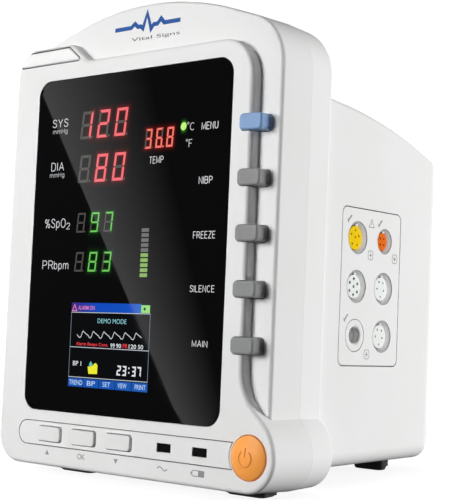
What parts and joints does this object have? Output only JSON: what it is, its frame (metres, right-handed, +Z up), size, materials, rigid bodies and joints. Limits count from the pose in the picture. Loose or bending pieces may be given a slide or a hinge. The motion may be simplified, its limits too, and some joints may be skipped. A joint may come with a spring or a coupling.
{
  "type": "patient monitor",
  "caption": "Bench-top vital-signs monitor: tilted white housing with black display window, push keys, side sockets for patient leads, hand recess and rubber feet.",
  "frame": {"origin": "middle of the footprint of the bounding box, on the surface that the four feet stand on", "axes": "+Z up, -Y towards the user at the front face, +X to the right as the user sees it; the front face leans back 3.67 degrees"},
  "size_m": [0.1942, 0.1658, 0.2478],
  "materials": {
    "housing": "fine spark-eroded texture on white ABS",
    "window": "polished black-tinted acrylic",
    "lamp_lens": "milky translucent white",
    "white_keys": "satin white",
    "grey_keys": "satin grey silicone-touch plastic",
    "blue_key": "satin blue",
    "power_button": "orange, semi-gloss",
    "indicator": "dark smoked window",
    "yellow_insert": "yellow connector insert",
    "orange_insert": "orange connector insert",
    "white_insert": "white connector insert",
    "feet": "moulded black rubber",
    "inlet": "black moulded nylon",
    "plated_steel": "nickel plated",
    "sheet_steel": "zinc-plated sheet",
    "brass": "turned brass",
    "label": "blank silver polyester label",
    "circuit_board": "green solder mask",
    "black_module": "black moulded casings",
    "battery_wrap": "blue shrink wrap",
    "hose": "grey silicone tube"
  },
  "bodies": {
    "housing": {"air_hose": "hose", "alarm_lamp_lens": "lamp_lens", "alarm_led_board": "circuit_board", "bar_graph": "black_module", "battery_indicator": "indicator", "battery_pack": "battery_wrap", "chassis_frame": "sheet_steel", "control_strip": "housing", "diastolic_digits": "black_module", "display_board": "circuit_board", "display_window": "window", "earth_stud": "brass", "foot_front_left": "feet", "foot_front_right": "feet", "foot_rear_left": "feet", "foot_rear_right": "feet", "front_housing": "housing", "front_key_board": "circuit_board", "housing_screw_1": "plated_steel", "housing_screw_2": "plated_steel", "housing_screw_3": "plated_steel", "housing_screw_4": "plated_steel", "inlet_pin_earth": "plated_steel", "inlet_pin_line": "plated_steel", "inlet_pin_neutral": "plated_steel", "lcd_module": "sheet_steel", "main_board": "circuit_board", "mains_indicator": "indicator", "mains_inlet": "inlet", "network_port": "sheet_steel", "nibp_fitting": "white_insert", "nibp_pump": "black_module", "nibp_valve": "sheet_steel", "oxygen_digits": "black_module", "oxygen_module": "circuit_board", "power_supply": "circuit_board", "pulse_digits": "black_module", "rating_plate": "label", "rear_housing": "housing", "side_key_board": "circuit_board", "socket_5_pin_lower": "white_insert", "socket_5_pin_upper": "white_insert", "socket_7_pin": "white_insert", "socket_orange": "orange_insert", "socket_panel": "housing", "socket_yellow_6_pin": "yellow_insert", "speaker": "black_module", "systolic_digits": "black_module", "temperature_digits": "black_module"},
    "key_menu": {"key_menu": "blue_key"},
    "key_nibp": {"key_nibp": "grey_keys"},
    "key_freeze": {"key_freeze": "grey_keys"},
    "key_silence": {"key_silence": "grey_keys"},
    "key_main": {"key_main": "grey_keys"},
    "key_up": {"key_up": "white_keys"},
    "key_ok": {"key_ok": "white_keys"},
    "key_down": {"key_down": "white_keys"},
    "power_button": {"power_button": "power_button"},
    "battery_door": {"battery_door": "housing"}
  },
  "joints": [
    {"name": "key_menu_press", "type": "slide", "parent": "housing", "child": "key_menu", "axis": [0, 0.9979, -0.064], "range_m": [0, 0.0012], "stiffness_N_per_m": 900, "springref_m": -0.0004},
    {"name": "key_nibp_press", "type": "slide", "parent": "housing", "child": "key_nibp", "axis": [0, 0.9979, -0.064], "range_m": [0, 0.0012], "stiffness_N_per_m": 900, "springref_m": -0.0004},
    {"name": "key_freeze_press", "type": "slide", "parent": "housing", "child": "key_freeze", "axis": [0, 0.9979, -0.064], "range_m": [0, 0.0012], "stiffness_N_per_m": 900, "springref_m": -0.0004},
    {"name": "key_silence_press", "type": "slide", "parent": "housing", "child": "key_silence", "axis": [0, 0.9979, -0.064], "range_m": [0, 0.0012], "stiffness_N_per_m": 900, "springref_m": -0.0004},
    {"name": "key_main_press", "type": "slide", "parent": "housing", "child": "key_main", "axis": [0, 0.9979, -0.064], "range_m": [0, 0.0012], "stiffness_N_per_m": 900, "springref_m": -0.0004},
    {"name": "key_up_press", "type": "slide", "parent": "housing", "child": "key_up", "axis": [0, 0.9979, -0.064], "range_m": [0, 0.001], "stiffness_N_per_m": 900, "springref_m": -0.0004},
    {"name": "key_ok_press", "type": "slide", "parent": "housing", "child": "key_ok", "axis": [0, 0.9979, -0.064], "range_m": [0, 0.001], "stiffness_N_per_m": 900, "springref_m": -0.0004},
    {"name": "key_down_press", "type": "slide", "parent": "housing", "child": "key_down", "axis": [0, 0.9979, -0.064], "range_m": [0, 0.001], "stiffness_N_per_m": 900, "springref_m": -0.0004},
    {"name": "power_button_press", "type": "slide", "parent": "housing", "child": "power_button", "axis": [0, 0.9979, -0.064], "range_m": [0, 0.0012], "stiffness_N_per_m": 900, "springref_m": -0.0004},
    {"name": "battery_door_hinge", "type": "hinge", "parent": "housing", "child": "battery_door", "pos_m": [-0.09215, 0.02788, 0.07627], "axis": [0, -0.9979, 0.064], "range_deg": [0, 95]}
  ]
}
